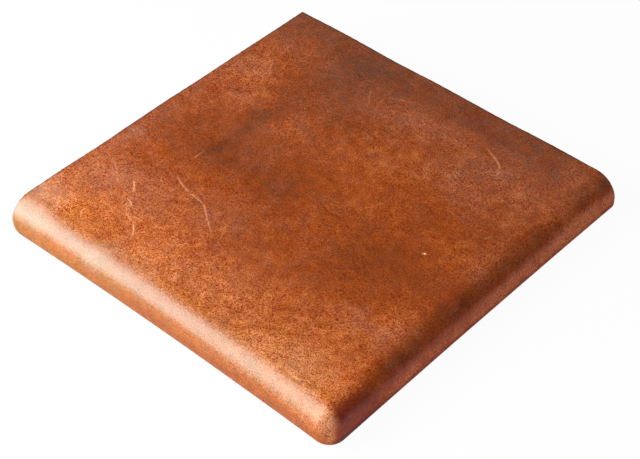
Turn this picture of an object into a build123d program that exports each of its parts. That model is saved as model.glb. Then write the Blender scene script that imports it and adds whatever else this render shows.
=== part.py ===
"""Corner stair tread tile in fired stoneware: a square slab whose two outer sides roll
down into a hooked round nose, turned round the outer corner. Millimetres, +Z up, origin
at the middle of the square, level with the feet of the noses."""

import os

from build123d import *

# Slab
tread_side = 330.0
slab_thickness = 12.0

# Nose, as its section looks: a large round on top, a short upright face, a smaller round
# below it, and a lip that returns under the slab
nose_height = 35.0
nose_face_height = 3.0
nose_under_radius = 12.0
nose_wall = 12.0

# Hook of the nose: its inner lower corner, then the lip, which ends in a full round
hook_radius = 4.0
lip_thickness = 10.0
lip_straight = 2.0

# Hollow between the lip and the slab: the upright face between its two rounds
hollow_face_height = 1.0

# Outer corner of the tread, where the front nose turns into the right nose
corner_radius = 15.5

# Dovetail keys for the mortar, cut into the underside in line with the front nose
key_pitch = 20.0
key_mouth = 9.0
key_root = 11.0
key_depth = 2.0
key_edge_land = 14.0

# How far a cutting form reaches past the faces that it cuts
overrun = 5.0

half_side = tread_side / 2
underside_height = nose_height - slab_thickness
lip_tip_radius = lip_thickness / 2

# The nose's top round has the height that the face and the round below it leave, and
# the hollow's shoulder has what the lip, the hook and the hollow's face leave
nose_top_radius = nose_height - nose_face_height - nose_under_radius
shoulder_radius = underside_height - lip_thickness - hook_radius - hollow_face_height

# A section's x is the distance in from the nose's face, and its y is the height. The
# first plane stands across the front nose at the left side, and the second across the
# right nose at the front.
across_front_nose = Plane(
    origin=(-half_side, -half_side, 0), x_dir=(0, 1, 0), z_dir=(1, 0, 0)
)
across_right_nose = Plane(
    origin=(half_side, -half_side, 0), x_dir=(-1, 0, 0), z_dir=(0, 1, 0)
)
corner_axis = Axis(
    (half_side - corner_radius, corner_radius - half_side, 0), (0, 0, 1)
)


def outside_section():
    """The tread's outer section, filled down to the feet of the noses."""
    with BuildSketch() as outside:
        with BuildLine():
            top_round = RadiusArc(
                (nose_top_radius, nose_height),
                (0, nose_height - nose_top_radius),
                -nose_top_radius,
            )
            face = Line(top_round @ 1, (0, nose_under_radius))
            under_round = RadiusArc(
                face @ 1, (nose_under_radius, 0), -nose_under_radius
            )
            Polyline(
                under_round @ 1,
                (tread_side, 0),
                (tread_side, nose_height),
                top_round @ 0,
            )
        make_face()
    return outside.sketch


def space_section():
    """The space under the slab and inside the hook of the nose, open to below."""
    lip_centre = nose_wall + hook_radius + lip_straight
    with BuildSketch() as space:
        with BuildLine():
            roof = Line(
                (tread_side + overrun, underside_height),
                (nose_wall + shoulder_radius, underside_height),
            )
            shoulder = RadiusArc(
                roof @ 1,
                (nose_wall, underside_height - shoulder_radius),
                -shoulder_radius,
            )
            back = Line(shoulder @ 1, (nose_wall, lip_thickness + hook_radius))
            hook = RadiusArc(
                back @ 1, (nose_wall + hook_radius, lip_thickness), -hook_radius
            )
            lip = Line(hook @ 1, (lip_centre, lip_thickness))
            tip = CenterArc(
                (lip_centre, lip_tip_radius), lip_tip_radius, 90, -180
            )
            Polyline(
                tip @ 1,
                (lip_centre, -overrun),
                (tread_side + overrun, -overrun),
                roof @ 0,
            )
        make_face()
    return space.sketch


def turned_round_corner(section, reach):
    """The solid that has this section across both noses and is turned at the outer
    corner. Its runs reach this far past the cut sides."""
    with BuildPart() as form:
        with BuildSketch(across_front_nose.offset(-reach)):
            add(section)
        extrude(amount=tread_side + reach)
        with BuildSketch(across_right_nose):
            add(section)
        extrude(amount=tread_side + reach, mode=Mode.INTERSECT)

        # The mitre outside the corner's axis makes way for the turned corner
        with BuildSketch(Plane.XY.offset(-overrun)):
            with Locations((half_side, -half_side)):
                Rectangle(
                    corner_radius, corner_radius, align=(Align.MAX, Align.MIN)
                )
        extrude(amount=nose_height + 2 * overrun, mode=Mode.SUBTRACT)
        with BuildSketch(across_front_nose.offset(tread_side - corner_radius)):
            add(section)
            with Locations((corner_radius, -overrun)):
                Rectangle(
                    tread_side,
                    nose_height + 2 * overrun,
                    align=(Align.MIN, Align.MIN),
                    mode=Mode.SUBTRACT,
                )
        revolve(axis=corner_axis, revolution_arc=90)
    return form.part


with BuildSketch() as key_section:
    with BuildLine():
        Polyline(
            (-key_mouth / 2, 0),
            (-key_root / 2, key_depth),
            (key_root / 2, key_depth),
            (key_mouth / 2, 0),
            close=True,
        )
    make_face()

with BuildPart() as corner_tread:
    # Outer form, less the space that the step's own edge and its mortar fill
    add(turned_round_corner(outside_section(), reach=0))
    add(turned_round_corner(space_section(), reach=overrun), mode=Mode.SUBTRACT)

    # Keys, from the cut left side to where the right nose's shoulder begins
    key_zone_start = nose_wall + shoulder_radius + key_edge_land
    key_zone = tread_side - key_edge_land - key_zone_start
    key_count = int((key_zone - key_mouth) // key_pitch) + 1
    with BuildSketch(across_front_nose):
        with Locations((key_zone_start + key_zone / 2, underside_height)):
            with GridLocations(key_pitch, 0, key_count, 1):
                add(key_section.sketch)
    extrude(amount=tread_side - nose_wall - shoulder_radius, mode=Mode.SUBTRACT)

corner_tread.part.label = "corner_tread"
os.makedirs("parts", exist_ok=True)
export_step(corner_tread.part, "parts/corner_tread.step")
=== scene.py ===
"""Looks of the corner stair tread tile: its worn, flashed stoneware surface as one dense
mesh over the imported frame, with the floor, the lights and the camera. Lengths in the
mesh code are millimetres in the row frame; Blender gets metres."""

import math

import bmesh
import bpy
import numpy as np
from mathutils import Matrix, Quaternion, Vector


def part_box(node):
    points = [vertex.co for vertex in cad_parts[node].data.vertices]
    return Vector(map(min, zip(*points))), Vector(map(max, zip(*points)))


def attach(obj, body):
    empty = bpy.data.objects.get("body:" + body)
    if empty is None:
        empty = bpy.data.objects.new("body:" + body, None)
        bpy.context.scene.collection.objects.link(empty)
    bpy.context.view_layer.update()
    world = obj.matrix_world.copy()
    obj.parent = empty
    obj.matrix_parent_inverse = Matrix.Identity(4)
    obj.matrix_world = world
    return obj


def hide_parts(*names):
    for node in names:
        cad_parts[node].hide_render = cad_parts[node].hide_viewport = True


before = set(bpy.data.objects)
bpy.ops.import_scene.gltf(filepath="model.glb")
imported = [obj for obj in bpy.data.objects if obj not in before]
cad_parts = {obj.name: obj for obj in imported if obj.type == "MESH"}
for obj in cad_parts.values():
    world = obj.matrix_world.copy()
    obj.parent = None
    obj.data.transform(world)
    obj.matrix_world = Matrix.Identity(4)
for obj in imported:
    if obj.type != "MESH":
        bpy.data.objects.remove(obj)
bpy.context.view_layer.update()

MM = 0.001
low_corner, high_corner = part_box("corner_tread")
HALF = (high_corner.x - low_corner.x) / 2 / MM
HEIGHT = high_corner.z / MM

# Section of the nose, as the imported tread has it
TOP_RADIUS = 20.0
UNDER_RADIUS = 12.0
SLAB = 12.0
NOSE_WALL = 12.0
HOOK_RADIUS = 4.0
LIP = 10.0
LIP_STRAIGHT = 2.0
LIP_CENTRE = NOSE_WALL + HOOK_RADIUS + LIP_STRAIGHT
SHOULDER_RADIUS = 8.0
CORNER_RADIUS = 15.5

# Dovetail keys of the underside, along the front nose, from the first key's middle
KEY_PITCH = 20.0
KEY_MOUTH = 9.0
KEY_ROOT = 11.0
KEY_DEPTH = 2.0
FIRST_KEY = 45.0
KEY_COUNT = 14

# Mesh: width of the border that follows the noses, the sizes of its cells, the cells round
# the corner, how softly the border's lines close to the mitre, and the arris of a cut side
RIM = 25.0
FINE_CELL = 1.3
COARSE_CELL = 2.7
CORNER_CELLS = 32
MITRE_SOFTNESS = 3.0
ARRIS = 0.5
SHARP_ANGLE = 35.0

# Mesh: the part of a cell that may be left over, and how near counts as the same place
CELL_SLACK = 0.01
SAME_DIGITS = 4
TOUCH = 1e-6

# As-fired form: how far the middles of the noses have drawn in, and over what width
FRONT_BOW = 2.3
RIGHT_BOW = 1.0
BOW_START = 23.0
BOW_END = 70.0

# Relief: how deep a scratch's low side and a crease lie, and how far each is felt
LEDGE_DEPTH = 0.30
LEDGE_REACH = 7.0
LEDGE_SOFTNESS = 0.8
CREASE_DEPTH = 0.22
CREASE_REACH = 1.2

# Relief: waves of the fired surface, each with its length, its height and its seed, about a
# mean depth. The broad ones fade to a share of their height over a drop from the flat top,
# and all fade to nothing between two heights above the foot.
BROAD_WAVES = [(95, 0.24, 1), (42, 0.07, 2)]
SMALL_WAVES = [(17, 0.025, 3), (8, 0.018, 4)]
MEAN_DEPTH = 0.45
LEAST_DEPTH = 0.04
ROUNDS_SHARE = 0.4
TOP_FADE = 6.0
FOOT_FADE = (2, 14)
WAVE_COUNT = 24

# Relief: the worn arris of the cut sides, and the foot of the front nose, worn round at its
# cut end between the heights where the wear sets in and those where it fades
ARRIS_DROP = 0.22
ARRIS_WAVES = [(6, 0.3, 5)]
CUT_REACH = 0.01
END_WEAR = 1.3
END_WEAR_REACH = 7
END_WEAR_START = (1, 6)
END_WEAR_FADE = (9, 24)
END_WEAR_INSET = 20

# Marks: how far one is felt, how it fades there and tapers to its ends, and the pieces that
# each run of its route is curved with
MARK_REACH = 9.0
MARK_FADE = 3.0
MARK_TAPER = 4.0
ROUTE_CUTS = 4

# How the outlines of the stains wander across and along: waves in the same form
WANDER_ACROSS = [(40, 2.5, 11), (14, 1, 12)]
WANDER_ALONG = [(40, 2.5, 13), (14, 1, 14)]

# Soft stains of the firing, over the top and the rounds laid out flat, from the back to the
# front. Each has its middle, its half widths and its strength: paler clay above zero, soot
# below it. They add to a level tone.
TONE_LEVEL = 0.46
TONE_SPOTS = [
    (157, 160, 8, 8, -0.16), (50, 146, 24, 8, -0.08), (-45, 140, 22, 10, -0.05),
    (74, 140, 14, 8, -0.08), (-72, 139, 18, 10, -0.06), (125, 125, 25, 14, -0.08),
    (-68, 122, 30, 32, -0.3), (174, 120, 10, 28, 0.2), (25, 115, 35, 14, 0.1),
    (110, 115, 30, 15, 0.04), (136, 112, 12, 12, -0.07), (152, 110, 14, 28, 0.22),
    (-80, 92, 14, 12, 0.05), (125, 90, 30, 25, 0.16), (-142, 82, 14, 14, 0.04),
    (-138, 82, 24, 38, 0.24), (55, 80, 30, 25, 0.14), (-45, 78, 25, 20, -0.1),
    (160, 78, 9, 14, -0.12), (15, 65, 32, 30, 0.18), (-115, 52, 14, 14, 0.1),
    (-155, 50, 12, 30, 0.1), (-62, 45, 24, 20, 0.06), (-110, 41, 9, 9, 0.12),
    (-93, 35, 11, 42, -0.34), (82, 30, 9, 9, -0.1), (150, 25, 12, 20, 0.08),
    (125, 15, 34, 14, 0.14), (-140, 10, 12, 12, 0.05), (28, 10, 26, 18, 0.1),
    (62, 0, 12, 10, -0.08), (162, 0, 9, 30, -0.16), (-45, -8, 42, 22, -0.2),
    (-125, -18, 25, 22, -0.14), (-90, -18, 18, 18, -0.22), (88, -18, 32, 16, -0.2),
    (-65, -20, 22, 14, -0.06), (148, -22, 12, 12, -0.12), (-22, -25, 22, 20, -0.1),
    (130, -25, 28, 25, -0.06), (-160, -45, 7, 16, 0.06), (68, -45, 28, 25, -0.18),
    (142, -62, 20, 20, 0.26), (-85, -72, 50, 14, 0.14), (-150, -75, 18, 18, 0.2),
    (160, -75, 9, 38, -0.22), (-109, -89, 8, 8, 0.12), (148, -90, 9, 14, -0.12),
    (110, -100, 34, 18, 0.12), (-41, -102, 10, 8, 0.14), (-95, -105, 20, 10, 0.1),
    (-15, -105, 10, 20, -0.12), (131, -105, 12, 12, -0.08), (83, -106, 10, 9, -0.13),
    (67, -115, 10, 9, -0.14), (116, -123, 10, 8, -0.12), (18, -124, 9, 9, 0.14),
    (-55, -135, 14, 10, 0.1), (-130, -137, 30, 10, 0.1), (160, -137, 9, 10, 0.12),
    (161, -137, 8, 10, 0.08), (125, -138, 45, 14, 0.22), (74, -140, 9, 7, 0.18),
    (75, -140, 10, 8, 0.05), (101, -141, 12, 8, 0.06), (-140, -143, 8, 5, 0.08),
    (128, -144, 10, 7, 0.14), (-156, -147, 8, 5, -0.05), (138, -150, 10, 7, -0.09),
    # The pale spots near the front corner of the two rounds carry the front highlight round
    # the corner: painted highlight
    (135, -158, 25, 14, 0.08), (168, -159, 6, 14, 0.45), (152, -160, 10, 12, 0.2),
    (-95, -172, 32, 5, 0.1), (100, -173, 40, 5, -0.06), (163, -174, 7, 5, -0.08),
    (-130, -175, 40, 6, 0.1), (159, -176, 8, 6, 0.06),
]

# Pale mineral bloom, in the same form, with the most that there can be. It is partly painted
# light: the strong spots along the front round and at its left end are painted highlight that
# whitens the key lamp's highlight, and some haze at the back and left of the top is painted
# sheen.
HAZE_LEVEL = 0.12
MOST_HAZE = 2.5
HAZE_SPOTS = [
    (133, 150, 16, 10, 0.24), (35, 149, 14, 8, -0.12), (62, 146, 38, 10, -0.1),
    (147, 142, 14, 14, 0.22), (96, 119, 20, 14, 0.13), (-5, 115, 24, 12, 0.12),
    (15, 115, 20, 15, 0.15), (-45, 105, 34, 20, 0.14), (110, 105, 38, 16, 0.18),
    (-19, 101, 14, 12, 0.06), (85, 98, 25, 22, 0.25), (-80, 92, 16, 14, 0.08),
    (62, 90, 20, 12, 0.06), (59, 86, 18, 14, 0.08), (60, 85, 25, 14, 0.12),
    (-142, 82, 14, 14, 0.18), (-138, 75, 18, 18, 0.15), (90, 70, 30, 10, 0.2),
    (-58, 67, 14, 14, 0.12), (20, 60, 14, 12, 0.06), (-118, 57, 14, 12, 0.08),
    (114, 56, 18, 14, 0.12), (-76, 50, 14, 14, 0.1), (45, 50, 30, 22, -0.16),
    (-115, 45, 14, 14, 0.22), (-138, 40, 10, 14, 0.08), (-72, 35, 15, 40, 0.1),
    (132, 34, 16, 12, 0.1), (-160, 30, 12, 110, 0.28), (-15, 20, 16, 12, -0.08),
    (148, 14, 12, 10, 0.22), (-5, 10, 14, 10, -0.05), (-33, 4, 14, 12, -0.1),
    (40, -5, 14, 10, -0.08), (-92, -7, 14, 12, -0.14), (-13, -18, 14, 12, -0.1),
    (-62, -20, 20, 12, -0.14), (85, -20, 60, 60, -0.24), (-162, -45, 7, 16, 0.2),
    (-161, -45, 6, 14, 0.25), (-155, -45, 12, 15, 0.25), (-11, -55, 16, 12, 0.06),
    (148, -57, 12, 12, 0.12), (-15, -60, 12, 8, 0.05), (131, -72, 16, 12, 0.1),
    (-45, -75, 40, 22, 0.12), (-15, -75, 8, 8, 0.1), (118, -78, 22, 9, 0.2),
    (-47, -87, 14, 12, -0.08), (-135, -88, 18, 20, 0.18), (-120, -90, 42, 18, 0.36),
    (-92, -105, 12, 10, 0.25), (152, -115, 12, 25, -0.35), (80, -118, 14, 10, -0.14),
    (113, -121, 14, 10, -0.12), (15, -125, 30, 15, 0.16), (-157, -136, 16, 16, 1.2),
    (-15, -138, 12, 8, 0.2), (110, -138, 24, 9, 0.5), (-62, -139, 14, 8, -0.15),
    (-50, -140, 15, 8, 0.2), (75, -140, 10, 8, 0.15), (-156, -146, 10, 5, -0.35),
    (150, -147, 12, 8, -0.4), (-159, -148, 10, 8, -0.2), (-145, -150, 12, 7, -0.3),
    (138, -150, 10, 7, -0.2), (-50, -152, 16, 12, 0.35), (-150, -155, 27, 10, 1.35),
    (122, -156, 18, 12, 0.42), (-80, -157, 16, 10, 0.75), (70, -157, 10, 12, 0.2),
    (-75, -163, 16, 11, 0.55), (151, -166, 10, 11, 0.35), (-150, -168, 26, 10, 0.4),
    (159, -176, 8, 6, 0.35),
]

# Yellower clay, in the same form
OCHRE_SPOTS = [
    (167, 155, 8, 8, -0.15), (55, 147, 45, 12, -0.08), (120, 100, 30, 20, -0.03),
    (-62, 30, 40, 12, 0.04), (148, -22, 12, 12, -0.12), (-125, -122, 20, 8, 0.25),
    (110, -128, 30, 8, 0.2), (150, -130, 9, 20, -0.38), (-140, -155, 60, 10, 0.1),
    (60, -157, 30, 10, 0.1), (157, -160, 10, 18, -0.45), (-112, -168, 14, 14, -0.18),
    (-55, -172, 14, 9, 0.3), (100, -173, 40, 5, -0.1),
]

# Bands of the firing. Each has the field that it changes and its form across: a ridge has
# a middle and a half width, and a step has where it starts and where it is full, both
# counted outwards from the middle of the tread, laid out flat. Then come a stretch along
# the band, and the strengths before and after it. An even band has one strength twice.
EVEN = (0, 1)

# The flat top is paler towards the front nose, and darker at the back with more bloom, which
# is partly painted sheen
FRONT_SLOPES = [
    ("tone", "step", (65, 125), EVEN, (0.32, 0.32)),
    ("haze", "step", (50, 80), EVEN, (0.06, 0.06)),
]
BACK_SLOPES = [
    ("tone", "step", (122, 150), (100, 145), (-0.24, 0)),
    ("haze", "step", (90, 125), (125, 150), (0.2, 0.08)),
]

# The front round is browner and yellower down to its face, with a pale band along its upper
# part that is painted highlight, whitening the key lamp's highlight there
FRONT_BANDS = [
    ("tone", "step", (136, 166), (-60, 130), (-0.42, -0.26)),
    ("tone", "ridge", (159, 7), (40, 110), (-0.12, 0)),
    ("tone", "step", (164, 171), (-110, 0), (-0.12, 0)),
    ("tone", "step", (171, 177), (-60, 60), (-0.02, -0.12)),
    ("haze", "ridge", (155, 5), EVEN, (0.35, 0.35)),
    ("haze", "ridge", (161, 8), (-150, 0), (1.42, 0.62)),
    ("haze", "step", (166, 173), EVEN, (-0.25, -0.25)),
    ("haze", "ridge", (168, 4), (20, 100), (-0.5, 0)),
    ("haze", "step", (168, 174), EVEN, (-0.3, -0.3)),
    ("ochre", "ridge", (136, 8), (-110, -60), (0.25, 0.1)),
    ("ochre", "step", (136, 161), EVEN, (1, 1)),
    ("ochre", "ridge", (158, 8), (0, 100), (-0.3, -0.12)),
    ("ochre", "step", (163, 174), (-110, -50), (-0.1, -0.5)),
    ("ochre", "step", (172, 178), EVEN, (-0.15, -0.15)),
]

# The right round is redder than the front one, and paler next to the flat top
RIGHT_BANDS = [
    ("tone", "ridge", (161, 6), (-120, -80), (0.12, 0)),
    ("tone", "ridge", (164, 8), (70, 120), (0, 0.14)),
    ("haze", "step", (140, 150), EVEN, (-0.4, -0.4)),
    ("ochre", "step", (140, 150), (-80, 60), (-0.5, -0.45)),
]

# The edge of the flat top is darker before the right round, which is paler towards its foot
# and darkened where it turns under to the floor, which is painted contact shade
RIGHT_EDGE_BANDS = [
    ("tone", "step", (158, 178), (-165, -140), (0, 0.27)),
    ("tone", "ridge", (160, 6.5), (-160, -148), (0.28, 0)),
    ("tone", "ridge", (160, 6.5), (-100, -60), (-0.28, -0.14)),
    ("tone", "step", (162, 172), (-60, 60), (0.1, 0.22)),
    # Painted contact shade where the right round turns under
    ("tone", "step", (177, 181), EVEN, (-0.35, -0.35)),
]

# Painted shade on the right round next to the corner: how far to the front its middle lies,
# and its half width
CORNER_PAINTED_SHADE = (145, 42)

# The seam where the right round's colour takes over from the front's: how far to the right
# it lies, what it is drawn in by towards the corner, its slant round the corner, and how
# far it is blended
SEAM = 164.0
SEAM_DRAW = 6.0
SEAM_DRAW_STRETCH = (110, 145)
SEAM_SLANT = 0.75
SEAM_TURN = 150.0
SEAM_TURN_LENGTH = 30.0
SEAM_BLEND = (-8, 9)

# Scratches with one side lower than the other, which lies on their right: strength, route
SCRATCHES = [
    (0.75, [
        (-93, -56), (-86, -59.5), (-79, -61.8), (-71, -63.8), (-63, -64.4),
        (-57, -65), (-51.5, -67.5), (-46.5, -71), (-41.5, -75), (-35.5, -79.3),
        (-30, -82.3), (-27, -84),
    ]),
    (0.3, [(-72, -65), (-67.5, -69), (-62, -74)]),
    (0.25, [(-25, -72), (-20, -80), (-13, -96)]),
    (1.6, [(-115, -81.5), (-109.5, -86), (-105, -90.5), (-107.5, -94)]),
    (0.5, [(-137, -80), (-132, -83.5), (-128, -87)]),
    (1.2, [(-103, -99.5), (-98, -101), (-94.5, -103), (-91, -105.5)]),
    (0.8, [(-97, -104), (-94, -109), (-89.5, -113), (-84, -114.7), (-79, -116.5)]),
    (1.4, [(-79.5, -116.5), (-74, -121), (-71, -124.7), (-68.5, -129.5)]),
    (0.7, [(-97.8, -21), (-98, -36)]),
    (0.25, [(-150, -74), (-137, -79.5), (-126, -88), (-116, -95)]),
    (1.0, [(-118, -128), (-118, -134), (-111.5, -140)]),
    (0.8, [(-164.5, -129), (-161.5, -135)]),
    (0.5, [(-27.5, -127), (-23, -131), (-18, -131)]),
    (0.6, [(-18, -130), (-16, -135), (-12, -141)]),
    (0.3, [(-20.5, -73), (-20, -79)]),
    (0.75, [(66, 128.5), (77, 123.5), (86, 118.5), (91, 112.5)]),
    (0.8, [(90, 116), (91.5, 112), (91, 105)]),
    (0.3, [(-51, 125), (-45, 115), (-38, 107)]),
    (0.35, [(-34, 123), (-34, 116), (-30, 104)]),
    (0.35, [(-33, 124), (-25, 128), (-11, 133)]),
    (0.25, [(-18, 97), (-8, 95)]),
    (0.25, [(110, 102), (115, 108), (116, 120)]),
    (0.35, [(128, 45), (133, 52)]),
    (3.0, [(103.2, 3.6), (107, 5.4)]),
    (1.2, [(49.6, 106), (50.6, 107)]),
    (0.5, [
        (107.5, -152), (110, -149), (119, -148.7), (124, -146.3), (131.5, -144.8),
    ]),
]

# Closed creases, in the same form
CREASES = [
    (1.0, [(9, -4), (18, -7.5), (23, -9), (29, -8), (36, -7)]),
    (0.45, [(-66, -132), (-80, -137.5), (-97, -137), (-114, -142), (-126, -146)]),
    (0.5, [(-117, -118), (-108, -117), (-102, -118.5)]),
    (0.4, [(-102, -119), (-96, -122)]),
    (0.4, [(-52, -142), (-40, -139), (-20, -142)]),
    (0.5, [(18, -147), (25, -146), (32, -150)]),
    (0.5, [(66, -144.5), (71.5, -147.5), (77, -149), (81.5, -148.5)]),
    (0.5, [(91, -140.5), (95, -141.5), (99.5, -142)]),
    (0.4, [(103, -141.5), (107, -143), (112, -144)]),
    (0.6, [
        (104, -149), (107.5, -150), (112, -150), (117.5, -151), (122.5, -151), (128, -151),
    ]),
    (0.6, [
        (118, -150.3), (126, -147.8), (131.5, -147.3), (137, -144.5), (142, -144),
    ]),
    (0.3, [(-35, -103), (-28, -104), (-22, -103)]),
    (0.5, [(13, -130), (24, -128)]),
    (0.4, [(-48, 96), (-39, 96.5)]),
    (0.3, [(-18, 57), (-15, 53)]),
    (0.3, [(-11, 30), (-3, 21)]),
    (0.3, [(-115, 73), (-108, 73)]),
    (0.4, [(56, -119), (66, -124), (74, -131)]),
    (0.35, [(66, -117), (78, -122), (88, -131)]),
    (0.35, [(80, -119), (92, -125), (100, -133)]),
    (0.3, [(94, -118), (104, -123), (113, -131)]),
]


# Section of the nose

def arc(centre, radius, start, end, step, inner=False):
    """Section points and normals along an arc, from start to end in degrees. An inner
    arc bounds a hollow, so its normals point at its centre."""
    count = max(2, math.ceil(abs(math.radians(end - start)) * radius / step))
    turn = np.radians(np.linspace(start, end, count + 1))
    ray = np.stack([np.cos(turn), np.sin(turn)], -1)
    return np.array(centre) + radius * ray, -ray if inner else ray


def run(start, end, normal, step):
    """Section points and normals along a straight line."""
    start, end = np.array(start, float), np.array(end, float)
    count = max(1, math.ceil(np.linalg.norm(end - start) / step))
    share = np.linspace(0, 1, count + 1)[:, None]
    normals = np.tile(np.array(normal, float), (count + 1, 1))
    return start + share * (end - start), normals


def chain(*stretches):
    """Joins stretches of a section that share their end points."""
    points = [stretches[0][0]] + [points[1:] for points, normals in stretches[1:]]
    normals = [stretches[0][1]] + [normals[1:] for points, normals in stretches[1:]]
    return np.concatenate(points), np.concatenate(normals)


def outer_section():
    """From the flat top over the nose to its foot: inset from the face, and height."""
    face_top = HEIGHT - TOP_RADIUS
    return chain(
        run((RIM, HEIGHT), (TOP_RADIUS, HEIGHT), (0, 1), FINE_CELL),
        arc((TOP_RADIUS, face_top), TOP_RADIUS, 90, 180, FINE_CELL),
        run((0, face_top), (0, UNDER_RADIUS), (-1, 0), FINE_CELL),
        arc((UNDER_RADIUS, UNDER_RADIUS), UNDER_RADIUS, 180, 270, FINE_CELL),
    )


def inner_section():
    """From the foot round the lip and up the hollow to the underside of the slab."""
    hook = (NOSE_WALL + HOOK_RADIUS, LIP + HOOK_RADIUS)
    shoulder = (NOSE_WALL + SHOULDER_RADIUS, HEIGHT - SLAB - SHOULDER_RADIUS)
    return chain(
        run((UNDER_RADIUS, 0), (LIP_CENTRE, 0), (0, -1), COARSE_CELL),
        arc((LIP_CENTRE, LIP / 2), LIP / 2, -90, 90, COARSE_CELL),
        run((LIP_CENTRE, LIP), (hook[0], LIP), (0, 1), COARSE_CELL),
        arc(hook, HOOK_RADIUS, 270, 180, COARSE_CELL, inner=True),
        run((NOSE_WALL, hook[1]), (NOSE_WALL, shoulder[1]), (1, 0), COARSE_CELL),
        arc(shoulder, SHOULDER_RADIUS, 180, 90, COARSE_CELL, inner=True),
    )


# Plan of the tread

def stations(stops, step):
    """Places along a line that hold every stop, with even cells of about one step."""
    places = [np.array(stops[:1], float)]
    for start, end in zip(stops, stops[1:]):
        cells = math.ceil((end - start) / step - CELL_SLACK)
        places.append(np.linspace(start, end, cells + 1)[1:])
    return np.concatenate(places)


def corner_ring(inset):
    """Places and outward directions along the line of this inset, from the end of the
    front nose's columns round the outer corner to the start of the right nose's."""
    reach = CORNER_RADIUS - inset
    radius = min((reach + math.hypot(reach, MITRE_SOFTNESS)) / 2, RIM - inset)
    leg = RIM - inset - radius
    along = np.linspace(0, 2 * leg + radius * math.pi / 2, CORNER_CELLS + 1)
    turn = np.clip((along - leg) / max(radius, TOUCH), 0, math.pi / 2)
    out = np.stack([np.sin(turn), -np.cos(turn)], -1)
    centre = np.array([HALF - inset - radius, inset + radius - HALF])
    before = np.clip(leg - along, 0, None)
    after = np.clip(along - leg - radius * math.pi / 2, 0, None)
    places = centre + radius * out
    places[:, 0] -= before
    places[:, 1] += after
    return places, out


class Skin:
    """Faces collected patch by patch. Corners at equal places are joined at the end."""

    def __init__(self):
        self.points = []
        self.normals = []
        self.laid = []
        self.faces = []
        self.raw = []
        self.flat = []
        self.count = 0

    def place(self, points, normals, laid=None):
        """Adds corners. Laid is where each lies once the rounds are laid out flat."""
        points = np.reshape(points, (-1, 3)).astype(float)
        self.points.append(points)
        self.laid.append(points[:, :2] if laid is None else laid.reshape(-1, 2))
        normals = np.array(normals, float).reshape(-1, 3)
        self.normals.append(np.broadcast_to(normals, points.shape))
        index = np.arange(self.count, self.count + len(points))
        self.count += len(points)
        return index

    def patch(self, points, normals, raw, laid=None):
        """A smooth patch of quads from rows and columns of points."""
        rows, columns = points.shape[:2]
        index = self.place(points, normals, laid).reshape(rows, columns)
        corners = [index[:-1, :-1], index[1:, :-1], index[1:, 1:], index[:-1, 1:]]
        quads = np.stack(corners, -1).reshape(-1, 4).tolist()
        self.faces += quads
        self.raw += [raw] * len(quads)
        self.flat += [False] * len(quads)

    def polygon(self, points, normal):
        """One flat face of raw clay."""
        self.faces.append(self.place(points, normal).tolist())
        self.raw.append(True)
        self.flat.append(True)

    def joined(self):
        """Points, normals and faces, with equal places made one."""
        points = np.concatenate(self.points)
        normals = np.concatenate(self.normals)
        laid = np.concatenate(self.laid)
        keys = np.round(points, SAME_DIGITS) + 0.0
        first, inverse = np.unique(keys, axis=0, return_index=True, return_inverse=True)[1:]
        inverse = inverse.reshape(-1)
        faces = []
        raw = []
        flat = []
        for face, is_raw, is_flat in zip(self.faces, self.raw, self.flat):
            corners = list(dict.fromkeys(inverse[face].tolist()))
            if len(corners) > 2:
                faces.append(corners)
                raw.append(is_raw)
                flat.append(is_flat)
        return points[first], normals[first], laid[first], faces, raw, flat


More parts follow.
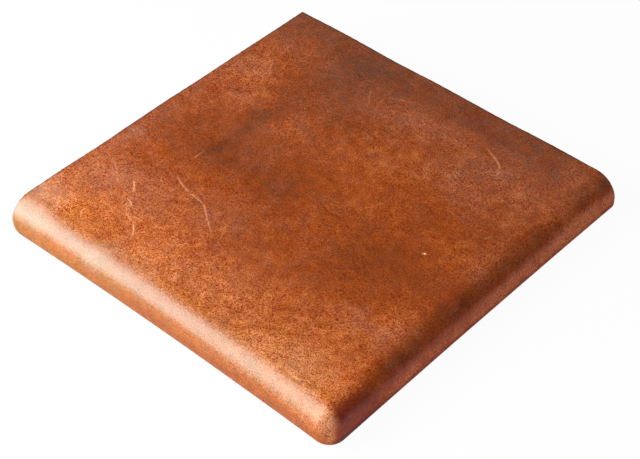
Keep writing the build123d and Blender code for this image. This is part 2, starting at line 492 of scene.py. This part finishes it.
def lay_out():
    """The whole tread at its nominal form."""
    skin = Skin()
    key_middles = FIRST_KEY - HALF + KEY_PITCH * np.arange(KEY_COUNT)
    key_edges = np.stack([key_middles - KEY_MOUTH / 2, key_middles + KEY_MOUTH / 2], -1)
    front_x = stations([-HALF, ARRIS - HALF, HALF - RIM], FINE_CELL)
    right_y = stations([RIM - HALF, *key_edges.ravel(), HALF - ARRIS, HALF], FINE_CELL)

    across, along = np.meshgrid(front_x, right_y, indexing="ij")
    top = np.stack([across, along, np.full_like(across, HEIGHT)], -1)
    skin.patch(top, (0, 0, 1), raw=False)

    def border(section, raw):
        """The strip that carries a section along both noses and round the corner."""
        rows = []
        row_normals = []
        row_laid = []
        steps = np.linalg.norm(np.diff(section[0], axis=0), axis=1)
        laid_insets = section[0][0, 0] - np.concatenate([[0], np.cumsum(steps)])
        for (inset, height), (in_part, up_part), laid_inset in zip(*section, laid_insets):
            ring, out = corner_ring(inset)
            front = np.stack([front_x, np.full_like(front_x, inset - HALF)], -1)
            front_out = np.tile([0, -1], (len(front), 1))
            right = np.stack([np.full_like(right_y, HALF - inset), right_y], -1)
            right_out = np.tile([1, 0], (len(right), 1))
            plan = np.concatenate([front, ring[1:-1], right])
            outward = np.concatenate([front_out, out[1:-1], right_out])
            level = np.ones(len(plan))
            rows.append(np.column_stack([plan, height * level]))
            row_normals.append(np.column_stack([-in_part * outward, up_part * level]))
            row_laid.append(plan + (inset - laid_inset) * outward)
        skin.patch(np.stack(rows), np.stack(row_normals), raw, np.stack(row_laid))
        return np.stack(rows)

    outer = border(outer_section(), raw=False)
    inner = border(inner_section(), raw=True)

    # Underside: lands between the keys, and each key's two flanks, root and end
    roof = HEIGHT - SLAB
    edge = inner[-1]
    key_end = HALF - NOSE_WALL - SHOULDER_RADIUS
    front_edge = edge[: len(front_x) + CORNER_CELLS - 1]
    right_edge = edge[len(front_x) + CORNER_CELLS - 1:]

    def right_edge_between(start, end):
        after_start = right_edge[:, 1] > start - TOUCH
        before_end = right_edge[:, 1] < end + TOUCH
        return right_edge[after_start & before_end]

    down = (0, 0, -1)
    first = key_edges[0, 0]
    skin.polygon(
        [*front_edge, *right_edge_between(-HALF, first), (-HALF, first, roof)], down
    )
    land_ends = [*key_edges[1:, 0], HALF]
    for start, end in zip(key_edges[:, 1], land_ends):
        skin.polygon(
            [(-HALF, start, roof), *right_edge_between(start, end), (-HALF, end, roof)], down
        )
    root = roof + KEY_DEPTH
    left_keys = []
    for middle, (start, end) in zip(key_middles, key_edges):
        low = middle - KEY_ROOT / 2
        high = middle + KEY_ROOT / 2
        section = [(start, roof), (low, root), (high, root), (end, roof)]
        left = [(-HALF, y, z) for y, z in section]
        inside = [(key_end, y, z) for y, z in section]
        left_keys += left
        for side, normal in enumerate([(0, 1, 0), down, (0, -1, 0)]):
            skin.polygon(
                [left[side], inside[side], inside[side + 1], left[side + 1]], normal
            )
        skin.polygon([*right_edge_between(start, end), inside[2], inside[1]], (-1, 0, 0))

    # Cut sides, from the flat top round the nose's section and back along the underside
    left_top = top[0, ::-1]
    skin.polygon(
        [*left_top, *outer[1:, 0], *inner[1:, 0], *left_keys, (-HALF, HALF, roof)], (-1, 0, 0)
    )
    back_top = top[:, -1]
    skin.polygon(
        [*back_top, *outer[1:, -1], *inner[1:, -1], (-HALF, HALF, roof)], (0, 1, 0)
    )
    return skin.joined()


# Relief and colour fields, in plan millimetres

def waves(points, length, seed):
    """A smooth random field of about unit spread, made of waves of one length."""
    draw = np.random.default_rng(seed)
    way = draw.normal(size=(WAVE_COUNT, 3))
    way *= 2 * math.pi / length / np.linalg.norm(way, axis=1, keepdims=True)
    start = draw.uniform(0, 2 * math.pi, WAVE_COUNT)
    return math.sqrt(2 / WAVE_COUNT) * np.cos(points @ way.T + start).sum(-1)


def swell(points, table):
    """The sum of waves of several lengths, heights and seeds."""
    total = np.zeros(len(points))
    for length, height, seed in table:
        total += height * waves(points, length, seed)
    return total


def soft_step(value, low, high):
    """0 at low and 1 at high, smooth between them."""
    share = np.clip((value - low) / (high - low), 0, 1)
    return share * share * (3 - 2 * share)


def ridge(value, middle, half_width):
    """1 at the middle, fading to 0 on both sides."""
    return np.exp(-((value - middle) / half_width) ** 2)


def drawn_in(points):
    """Points with the as-fired bow of both noses."""
    x, y = points[:, 0], points[:, 1]
    fade_front = 1 - soft_step(y + HALF, BOW_START, BOW_END)
    fade_right = 1 - soft_step(HALF - x, BOW_START, BOW_END)
    moved = points.copy()
    moved[:, 1] += FRONT_BOW * (1 - (x / HALF) ** 2) * fade_front
    moved[:, 0] -= RIGHT_BOW * (1 - (y / HALF) ** 2) * fade_right
    return moved


def rounded(route):
    """A route through the same points, curved between them."""
    points = np.array([route[0], *route, route[-1]], float)
    curved = [points[1]]
    for before, start, end, after in zip(points, points[1:], points[2:], points[3:]):
        for share in np.linspace(0, 1, ROUTE_CUTS + 1)[1:]:
            pull_in = share * (1 - share) ** 2 * (end - before) / 2
            pull_out = share * share * (1 - share) * (after - start) / 2
            curved.append(start + soft_step(share, 0, 1) * (end - start) + pull_in - pull_out)
    return np.array(curved)


def near_marks(laid, marks):
    """The distance from each place to the nearest mark, above zero on the mark's left,
    and how strongly that mark shows there."""
    side = np.full(len(laid), MARK_REACH)
    show = np.zeros(len(laid))
    for strength, route in marks:
        route = rounded(route)
        inside = (laid > route.min(0) - MARK_REACH) & (laid < route.max(0) + MARK_REACH)
        near = np.flatnonzero(inside.all(1))
        lengths = np.linalg.norm(np.diff(route, axis=0), axis=1)
        total = lengths.sum()
        taper = min(MARK_TAPER, total / 3)
        passed = 0.0
        for start, end, length in zip(route, route[1:], lengths):
            way = (end - start) / length
            offset = laid[near] - start
            along = offset @ way
            across = way[0] * offset[:, 1] - way[1] * offset[:, 0]
            held = np.clip(along, 0, length)
            gap = np.hypot(across, along - held)
            to_end = np.minimum(passed + held, total - passed - held)
            closer = gap < np.abs(side[near])
            chosen = near[closer]
            side[chosen] = np.copysign(gap, across)[closer]
            show[chosen] = strength * np.clip(to_end / taper, 0, 1)[closer]
            passed += length
    return side, show * soft_step(MARK_REACH - np.abs(side), 0, MARK_FADE)


def stained(laid, spots):
    """The sum of soft oval spots at each place."""
    total = np.zeros(len(laid))
    for x, y, half_x, half_y, strength in spots:
        spread = ((laid[:, 0] - x) / half_x) ** 2 + ((laid[:, 1] - y) / half_y) ** 2
        total += strength * np.exp(-spread)
    return total


BAND_FORMS = {"step": soft_step, "ridge": ridge}


def lay_bands(fields, bands, out, along, cover=1):
    """Adds bands to the fields. Out counts across them, and cover says where they show."""
    for name, form, across, stretch, (before, after) in bands:
        strength = before + (after - before) * soft_step(along, *stretch)
        fields[name] += strength * BAND_FORMS[form](out, *across) * cover


def fire_fields(laid):
    """Tone of the fired face, from 0 for soot to 1 for the palest clay, with some painted
    shade and highlight; its bloom, partly painted highlight and sheen; and how yellow it is."""
    flat = np.column_stack([laid, np.zeros(len(laid))])
    x = laid[:, 0] + swell(flat, WANDER_ACROSS)
    y = laid[:, 1] + swell(flat, WANDER_ALONG)
    wandering = np.column_stack([x, y])
    fields = {
        "tone": TONE_LEVEL + stained(wandering, TONE_SPOTS),
        "haze": HAZE_LEVEL + stained(wandering, HAZE_SPOTS),
        "ochre": stained(wandering, OCHRE_SPOTS),
    }
    lay_bands(fields, FRONT_SLOPES, -y, x)
    lay_bands(fields, BACK_SLOPES, y, x)

    out_x, out_y = laid[:, 0], -laid[:, 1]
    seam = SEAM - SEAM_DRAW * soft_step(out_y, *SEAM_DRAW_STRETCH)
    seam += SEAM_SLANT * np.clip(out_y - SEAM_TURN, 0, SEAM_TURN_LENGTH)
    right = soft_step(out_x - seam, *SEAM_BLEND)
    lay_bands(fields, FRONT_BANDS, out_y, x, 1 - right)
    lay_bands(fields, RIGHT_BANDS, out_x, laid[:, 1], right)
    lay_bands(fields, RIGHT_EDGE_BANDS, out_x, laid[:, 1])
    # Painted shade on the right round next to the corner
    fields["tone"] -= ridge(out_y, *CORNER_PAINTED_SHADE) * right
    fields["haze"] = np.clip(fields["haze"], 0, MOST_HAZE)
    return fields


def depth_of(points, scratches, creases):
    """How far the fired surface lies inside its nominal form."""
    height = points[:, 2]
    on_top = soft_step(height, HEIGHT - TOP_FADE, HEIGHT)
    broad = swell(points, BROAD_WAVES) * (ROUNDS_SHARE + (1 - ROUNDS_SHARE) * on_top)
    depth = MEAN_DEPTH + broad + swell(points, SMALL_WAVES)
    side, show = scratches
    low_side = soft_step(-side, -LEDGE_SOFTNESS, LEDGE_SOFTNESS)
    low_side *= np.exp(-np.clip(-side, 0, None) / LEDGE_REACH)
    depth += LEDGE_DEPTH * np.minimum(show, 1) * low_side
    side, show = creases
    depth += CREASE_DEPTH * show * ridge(side, 0, CREASE_REACH)
    cut = (points[:, 0] < CUT_REACH - HALF) | (points[:, 1] > HALF - CUT_REACH)
    depth += np.where(cut, ARRIS_DROP * (1 + swell(points, ARRIS_WAVES)), 0)
    depth = np.clip(depth, LEAST_DEPTH, None) * soft_step(height, *FOOT_FADE)

    # The front nose's foot is worn round at its cut end
    foot = soft_step(height, *END_WEAR_START) * (1 - soft_step(height, *END_WEAR_FADE))
    foot *= points[:, 1] < END_WEAR_INSET - HALF
    to_end = np.clip((points[:, 0] + HALF) / END_WEAR_REACH, 0, 1)
    return depth + END_WEAR * foot * (1 - to_end) ** 2


def make_tread():
    """The tread's visible mesh, as one piece."""
    points, normals, laid, faces, raw, flat = lay_out()
    scratches = near_marks(laid, SCRATCHES)
    creases = near_marks(laid, CREASES)
    depth = depth_of(points, scratches, creases)
    moved = drawn_in(points) - normals * depth[:, None]

    mesh = bpy.data.meshes.new("fired_tread")
    mesh.from_pydata((moved * MM).tolist(), [], faces)
    mesh.polygons.foreach_set("material_index", np.array(raw, np.int32))
    mesh.polygons.foreach_set("use_smooth", ~np.array(flat, bool))
    build = bmesh.new()
    build.from_mesh(mesh)
    bmesh.ops.recalc_face_normals(build, faces=build.faces)
    build.to_mesh(mesh)
    build.free()
    mesh.set_sharp_from_angle(angle=math.radians(SHARP_ANGLE))
    fields = fire_fields(laid)
    fields.update(scratch_side=scratches[0], scratch_show=scratches[1])
    fields.update(crease_side=creases[0], crease_show=creases[1])
    for name, values in fields.items():
        layer = mesh.attributes.new(name, "FLOAT", "POINT")
        layer.data.foreach_set("value", values.astype(np.float32))
    tread = bpy.data.objects.new("fired_tread", mesh)
    bpy.context.scene.collection.objects.link(tread)
    return tread


# Materials

# Sockets of the Mix node for its factor and two colours, and for the colour that it gives
MIX_INPUTS = (0, 6, 7)
MIX_OUTPUT = 2

# Octaves of the noises
NOISE_DETAIL = 2.0
FINE_DETAIL = 1.0
PATCH_DETAIL = 3.0


def add(tree, kind, inputs=None, **settings):
    """Adds a shader node. Its inputs take a value, or another node's output."""
    made = tree.nodes.new("ShaderNode" + kind)
    for name, value in settings.items():
        setattr(made, name, value)
    for name, value in (inputs or {}).items():
        if isinstance(value, bpy.types.NodeSocket):
            tree.links.new(value, made.inputs[name])
        else:
            made.inputs[name].default_value = value
    return made


def new_material(name):
    """An empty material and its node tree, with the output node."""
    material = bpy.data.materials.new(name)
    material.use_nodes = True
    tree = material.node_tree
    tree.nodes.clear()
    return material, tree, add(tree, "OutputMaterial")


def calculate(tree, operation, *values):
    """One step of arithmetic."""
    return add(tree, "Math", dict(enumerate(values)), operation=operation).outputs[0]


def weighted(tree, features, shares, start=0.0):
    """A start value plus these shares of the named features."""
    total = start
    for name, share in shares.items():
        total = calculate(tree, "MULTIPLY_ADD", features[name], share, total)
    return total


def field(tree, name):
    """A field that the mesh carries."""
    return add(tree, "Attribute", attribute_name=name).outputs["Fac"]


def in_millimetres(tree):
    """Object coordinates, in millimetres."""
    place = add(tree, "TexCoord").outputs["Object"]
    return add(tree, "VectorMath", {0: place, "Scale": 1 / MM}, operation="SCALE").outputs[0]


def grain(tree, place, size, detail=NOISE_DETAIL):
    """Noise around zero, with features of this size in millimetres."""
    noise = add(tree, "TexNoise", {"Vector": place, "Scale": 1 / size, "Detail": detail})
    return calculate(tree, "SUBTRACT", noise.outputs[0], 0.5)


def ramped(tree, value, low, high, start=0.0, end=1.0):
    """Takes a value's range from low to high smoothly to the range from start to end."""
    return add(
        tree,
        "MapRange",
        {"Value": value, "From Min": low, "From Max": high, "To Min": start, "To Max": end},
        interpolation_type="SMOOTHSTEP",
    ).outputs[0]


def blended(tree, mode, share, first, second):
    """Two colours blended by a share, with the named mode."""
    mix = add(tree, "Mix", data_type="RGBA", blend_type=mode, clamp_factor=False)
    for slot, value in zip(MIX_INPUTS, (share, first, second)):
        if isinstance(value, bpy.types.NodeSocket):
            tree.links.new(value, mix.inputs[slot])
        else:
            mix.inputs[slot].default_value = value
    return mix.outputs[MIX_OUTPUT]


def clay_shader(tree, output, colour, rough, gloss, height, strength):
    """Ends a material with its shader, and a bump of this height in millimetres."""
    bump = add(tree, "Bump", {"Height": height, "Distance": MM, "Strength": strength})
    inputs = {
        "Base Color": colour,
        "Roughness": rough,
        "Specular IOR Level": gloss,
        "Normal": bump.outputs[0],
    }
    shader = add(tree, "BsdfPrincipled", inputs)
    tree.links.new(shader.outputs[0], output.inputs["Surface"])


# Colours of the fired face along its tone, and those of its marks
FIRE_COLOURS = [
    (0.0, (0.150, 0.034, 0.009)),
    (0.25, (0.235, 0.045, 0.006)),
    (0.5, (0.310, 0.057, 0.006)),
    (0.75, (0.410, 0.093, 0.016)),
    (1.0, (0.520, 0.138, 0.029)),
]
# A scratch's pale colour is partly painted light, caught by the lit edge of its ledge
SCRATCH_AND_LIT_EDGE_COLOUR = (0.78, 0.37, 0.18, 1)
FLECK_COLOUR = (1, 0.80, 0.55, 1)
# A crease's dark colour is painted shade
CREASE_SHADE_COLOUR = (0.14, 0.028, 0.006, 1)
ARRIS_DARK = (0.045, 0.020, 0.012, 1)

# What a whole measure of bloom, which is partly painted highlight and sheen, and of ochre
# adds to the colour, and how much more or less of each colour the grain makes
BLOOM_AND_SHEEN = (0.034, 0.055, 0.052, 1)
OCHRE = (-0.01, 0.035, 0.0, 1)
GRAIN = (1.42, 3.2, 7.0, 1)

# Grain, blotches and clouds: sizes in millimetres, strengths, and how they grow with the
# tone and are veiled by bloom and painted highlight. A range has two values that a ramp
# reads, and then what it gives at each, which is 0 and 1 where it has only two.
FINE_SIZE = 0.95
COARSE_SIZE = 2.2
MOTTLE_SIZE = 8.0
MOTTLE_STRENGTH = 0.84
CLOUD_SIZE = 14.0
CLOUD_STRENGTH = 0.7
TONE_RANGE = (0.15, 0.9, 0.7, 1.22)
VEIL_RANGE = (0.4, 1.5, 1.0, 0.4)

# Wrinkles: thin lines where a winding noise is near zero, in patches
WRINKLE_SIZE = 5.0
WRINKLE_TWIST = 0.6
WRINKLE_RANGE = (0.0, 0.05, 1.0, 0.0)
WRINKLE_PATCH_SIZE = 22.0
WRINKLE_PATCH_RANGE = (-0.1, 0.12)

# Marks: the distance from the line where each fades, how strongly it covers the colour,
# and how ragged and broken it is
SCRATCH_LINE = (0.25, 0.95, 1.0, 0.0)
SCRATCH_COVER = 0.5
FLECK_RANGE = (1.5, 2.2)
CREASE_LINE = (0.0, 1.4, 1.0, 0.0)
CREASE_COVER = 0.6
RAGGED_SIZE = 2.2
RAGGED_REACH = 1.6
BREAK_SIZE = 3.5
BREAK_RANGE = (-0.16, 0.04, 0.35, 1.0)

# Darker colour along the chipped arris: its cover by the distance from the cut side, how that
# distance wanders, and the heights where it sets in
ARRIS_DARK_RANGE = (0.6, 1.8, 0.6, 0.0)
ARRIS_DARK_SIZE = 4.0
ARRIS_DARK_WANDER = 1.5
ARRIS_DARK_HEIGHTS = (30.0, 34.0)

# Roughness by height: matt foot to satin round, and what the worn flat top has more
ROUND_ROUGHNESS = (16.0, 27.0, 0.68, 0.29)
TOP_ROUGHNESS = (33.2, 34.3, 0.0, 0.10)
FIRED_GLOSS = 0.41
FIRED_BUMP = 0.6

# Shares of the fired face's features in its sanded grain, its roughness and its bump
SANDED_SHARES = {"coarse": 0.35, "wrinkle": -0.08}
ROUGH_SHARES = {"coarse": 0.25, "bloom_and_sheen": 0.10}
FIRED_HEIGHTS = {
    "fine": 0.20, "coarse": 0.16, "wrinkle": -0.05, "scratch": 0.10, "crease": -0.15,
}

# Raw clay: two colours and its grog, with the sizes and shares of its features
RAW_DARK = (0.27, 0.085, 0.035, 1)
RAW_PALE = (0.42, 0.165, 0.08, 1)
RAW_MIDDLE = 0.5
RAW_FINE_SIZE = 0.9
RAW_COARSE_SIZE = 3.0
RAW_PATCH_SIZE = 30.0
RAW_SHADES = {"patch": 1.2, "coarse": 0.7}
RAW_HEIGHTS = {"fine": 0.2, "coarse": 0.5}
RAW_BUMP = 0.8
RAW_ROUGHNESS = 0.88
RAW_GLOSS = 0.4
GROG_COLOUR = (0.62, 0.36, 0.22, 1)
GROG_PER_MM = 0.45
GROG_RANGE = (0.12, 0.22, 1.0, 0.0)
GROG_COVER = 0.45


def wrinkles(tree, place):
    """Fine leathery wrinkles, thin winding lines that come and go in patches."""
    inputs = {
        "Vector": place,
        "Scale": 1 / WRINKLE_SIZE,
        "Detail": NOISE_DETAIL,
        "Distortion": WRINKLE_TWIST,
    }
    noise = add(tree, "TexNoise", inputs).outputs[0]
    from_line = calculate(tree, "ABSOLUTE", calculate(tree, "SUBTRACT", noise, 0.5))
    line = ramped(tree, from_line, *WRINKLE_RANGE)
    patch = ramped(tree, grain(tree, place, WRINKLE_PATCH_SIZE), *WRINKLE_PATCH_RANGE)
    return calculate(tree, "MULTIPLY", line, patch)


def line_of(tree, place, name, line_range):
    """How strongly a mark of this name covers each place, with a ragged edge."""
    ragged = calculate(tree, "MULTIPLY", grain(tree, place, RAGGED_SIZE), RAGGED_REACH)
    side = calculate(tree, "ADD", field(tree, name + "_side"), ragged)
    cover = ramped(tree, calculate(tree, "ABSOLUTE", side), *line_range)
    broken = ramped(tree, grain(tree, place, BREAK_SIZE), *BREAK_RANGE)
    shown = calculate(tree, "MULTIPLY", cover, field(tree, name + "_show"))
    return calculate(tree, "MULTIPLY", shown, broken)


def fired_face():
    """Flashed, satin stoneware with a fine sanded grain and bloom, partly painted highlight
    and sheen, with scratches whose pale colour is partly painted light and creases of painted
    shade.
    """
    material, tree, output = new_material("fired_face")
    place = in_millimetres(tree)
    fine = grain(tree, place, FINE_SIZE, FINE_DETAIL)
    coarse = grain(tree, place, COARSE_SIZE)
    wrinkle = wrinkles(tree, place)
    crease = line_of(tree, place, "crease", CREASE_LINE)
    scratch = line_of(tree, place, "scratch", SCRATCH_LINE)

    # Tone: the mesh's own, broken up by blotches that are stronger where it is pale
    growth = ramped(tree, field(tree, "tone"), *TONE_RANGE)
    mottle = calculate(tree, "MULTIPLY", grain(tree, place, MOTTLE_SIZE), MOTTLE_STRENGTH)
    tone = calculate(tree, "MULTIPLY_ADD", mottle, growth, field(tree, "tone"))
    ramp = add(tree, "ValToRGB", {"Fac": tone})
    stops = ramp.color_ramp.elements
    while len(stops) < len(FIRE_COLOURS):
        stops.new(0.5)
    for stop, (position, colour) in zip(stops, FIRE_COLOURS):
        stop.position = position
        stop.color = (*colour, 1)

    # Bloom in clouds, partly painted highlight and sheen, and yellower clay
    cloud = grain(tree, place, CLOUD_SIZE)
    bloom_and_sheen = calculate(tree, "MULTIPLY_ADD", cloud, CLOUD_STRENGTH, field(tree, "haze"))
    bloom_and_sheen = calculate(tree, "MAXIMUM", bloom_and_sheen, 0.0)
    colour = blended(tree, "ADD", bloom_and_sheen, ramp.outputs[0], BLOOM_AND_SHEEN)
    colour = blended(tree, "ADD", field(tree, "ochre"), colour, OCHRE)

    # Sanded grain, weaker where bloom and painted highlight veil it
    features = {
        "fine": fine, "coarse": coarse, "wrinkle": wrinkle,
        "bloom_and_sheen": bloom_and_sheen, "scratch": scratch, "crease": crease,
    }
    sanded = weighted(tree, features, SANDED_SHARES, fine)
    sanded = calculate(tree, "MULTIPLY", sanded, growth)
    sanded = calculate(tree, "MULTIPLY", sanded, ramped(tree, bloom_and_sheen, *VEIL_RANGE))
    grained = blended(tree, "ADD", sanded, (1, 1, 1, 1), GRAIN)
    colour = blended(tree, "MULTIPLY", 1.0, colour, grained)

    # Painted shade in the creases, then scratches over them, whose pale colour partly paints
    # the light caught by their lit edges, and the flecks where a scratch is strongest
    cover = calculate(tree, "MULTIPLY", crease, CREASE_COVER)
    colour = blended(tree, "MIX", cover, colour, CREASE_SHADE_COLOUR)
    cover = calculate(tree, "MULTIPLY", scratch, SCRATCH_COVER)
    cover = calculate(tree, "MINIMUM", cover, 1.0)
    colour = blended(tree, "MIX", cover, colour, SCRATCH_AND_LIT_EDGE_COLOUR)
    colour = blended(tree, "MIX", ramped(tree, scratch, *FLECK_RANGE), colour, FLECK_COLOUR)

    # Darker along the chipped arris of the two cut sides
    spot = add(tree, "SeparateXYZ", {0: place}).outputs
    from_left = calculate(tree, "ADD", spot[0], HALF)
    from_back = calculate(tree, "SUBTRACT", HALF, spot[1])
    from_cut = calculate(tree, "MINIMUM", from_left, from_back)
    wander = grain(tree, place, ARRIS_DARK_SIZE)
    from_cut = calculate(tree, "MULTIPLY_ADD", wander, ARRIS_DARK_WANDER, from_cut)
    cover = ramped(tree, from_cut, *ARRIS_DARK_RANGE)
    above = ramped(tree, spot[2], *ARRIS_DARK_HEIGHTS)
    colour = blended(tree, "MIX", calculate(tree, "MULTIPLY", cover, above), colour, ARRIS_DARK)

    # Satin on the rounds, duller on the worn top and matt towards the feet of the noses
    rough = ramped(tree, spot[2], *ROUND_ROUGHNESS)
    rough = calculate(tree, "ADD", rough, ramped(tree, spot[2], *TOP_ROUGHNESS))
    rough = weighted(tree, features, ROUGH_SHARES, rough)
    height = weighted(tree, features, FIRED_HEIGHTS)
    clay_shader(tree, output, colour, rough, FIRED_GLOSS, height, FIRED_BUMP)
    return material


def raw_clay():
    """Unflashed clay of the cut sides, the hollows and the underside."""
    material, tree, output = new_material("raw_clay")
    place = in_millimetres(tree)
    features = {
        "fine": grain(tree, place, RAW_FINE_SIZE, FINE_DETAIL),
        "coarse": grain(tree, place, RAW_COARSE_SIZE),
        "patch": grain(tree, place, RAW_PATCH_SIZE, PATCH_DETAIL),
    }
    shade = weighted(tree, features, RAW_SHADES, RAW_MIDDLE)
    colour = blended(tree, "MIX", shade, RAW_DARK, RAW_PALE)
    specks = add(tree, "TexVoronoi", {"Vector": place, "Scale": GROG_PER_MM})
    grog = ramped(tree, specks.outputs["Distance"], *GROG_RANGE)
    cover = calculate(tree, "MULTIPLY", grog, GROG_COVER)
    colour = blended(tree, "MIX", cover, colour, GROG_COLOUR)
    height = weighted(tree, features, RAW_HEIGHTS)
    clay_shader(tree, output, colour, RAW_ROUGHNESS, RAW_GLOSS, height, RAW_BUMP)
    return material


# Stage

# Floor: its side in metres, its own tone, the share of its shadow that the camera sees and
# of its white that gloss sees. Then the strength of the world.
FLOOR_SIZE = 40.0
FLOOR_TONE = 0.8
FLOOR_SHADOW = 0.04
GLOSS_WHITE = 0.2
WORLD_LIGHT = 0.10

# Camera: its place and what it looks at in metres, its roll in degrees, and its lens
CAMERA_SPOT = (0.67069, -0.71974, 0.92538)
CAMERA_TARGET = (0.0185, -0.01458, 0.01764)
CAMERA_ROLL = -0.761
CAMERA_LENS = 97.618
CAMERA_SENSOR = 36.0

# Lamps: name, direction from the tread, distance and size in metres, and power in watts
LAMPS = [
    ("key", (-0.48, -0.725, 0.47), 1.1, (0.74, 1.02), 26.0),
    ("fill", (0.10, -0.55, 0.83), 2.0, (1.6, 1.6), 10.0),
    ("side", (0.85, -0.42, 0.20), 1.6, (1.7, 0.6), 6.8),
]


def make_floor():
    """A white floor that shows as the photograph's white ground, with a faint shadow."""
    half = FLOOR_SIZE / 2
    mesh = bpy.data.meshes.new("floor")
    corners = [(-half, -half, 0), (half, -half, 0), (half, half, 0), (-half, half, 0)]
    mesh.from_pydata(corners, [], [(0, 1, 2, 3)])
    floor = bpy.data.objects.new("floor", mesh)
    bpy.context.scene.collection.objects.link(floor)
    material, tree, output = new_material("white_floor")
    lit = add(tree, "BsdfDiffuse", {"Color": (FLOOR_TONE, FLOOR_TONE, FLOOR_TONE, 1)})
    plain = add(tree, "Emission", {"Color": (1, 1, 1, 1), "Strength": 1.0})
    path = add(tree, "LightPath").outputs
    seen = calculate(tree, "MULTIPLY", path["Is Glossy Ray"], GLOSS_WHITE)
    seen = calculate(tree, "MAXIMUM", path["Is Camera Ray"], seen)
    seen = calculate(tree, "MAXIMUM", seen, path["Is Transmission Ray"])
    share = calculate(tree, "MULTIPLY", seen, 1 - FLOOR_SHADOW)
    mixed = add(tree, "MixShader", {0: share, 1: lit.outputs[0], 2: plain.outputs[0]})
    tree.links.new(mixed.outputs[0], output.inputs["Surface"])
    mesh.materials.append(material)


def make_world():
    """Even dim light from all round. The floor is what shows behind the tread."""
    world = bpy.data.worlds.new("studio")
    bpy.context.scene.world = world
    world.use_nodes = True
    backdrop = world.node_tree.nodes["Background"]
    backdrop.inputs["Color"].default_value = (1, 1, 1, 1)
    backdrop.inputs["Strength"].default_value = WORLD_LIGHT


def make_softbox(name, direction, distance, size, power):
    """An area light that looks at the tread from this direction."""
    light = bpy.data.lights.new(name, "AREA")
    light.shape = "RECTANGLE"
    light.size, light.size_y = size
    light.energy = power
    lamp = bpy.data.objects.new(name, light)
    away = Vector(direction).normalized()
    lamp.location = away * distance
    lamp.rotation_mode = "QUATERNION"
    lamp.rotation_quaternion = away.to_track_quat("Z", "Y")
    bpy.context.scene.collection.objects.link(lamp)


def make_camera():
    """The camera at the photograph's viewing angle."""
    camera = bpy.data.objects.new("camera", bpy.data.cameras.new("camera"))
    camera.data.lens = CAMERA_LENS
    camera.data.sensor_width = CAMERA_SENSOR
    spot, target = Vector(CAMERA_SPOT), Vector(CAMERA_TARGET)
    level = (target - spot).to_track_quat("-Z", "Y")
    camera.location = spot
    camera.rotation_mode = "QUATERNION"
    camera.rotation_quaternion = level @ Quaternion((0, 0, 1), math.radians(CAMERA_ROLL))
    bpy.context.scene.collection.objects.link(camera)
    bpy.context.scene.camera = camera


tread = make_tread()
tread.data.materials.append(fired_face())
tread.data.materials.append(raw_clay())
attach(tread, "root")
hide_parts("corner_tread")

make_floor()
make_world()
for lamp in LAMPS:
    make_softbox(*lamp)
make_camera()
bpy.context.scene.view_settings.view_transform = "Standard"
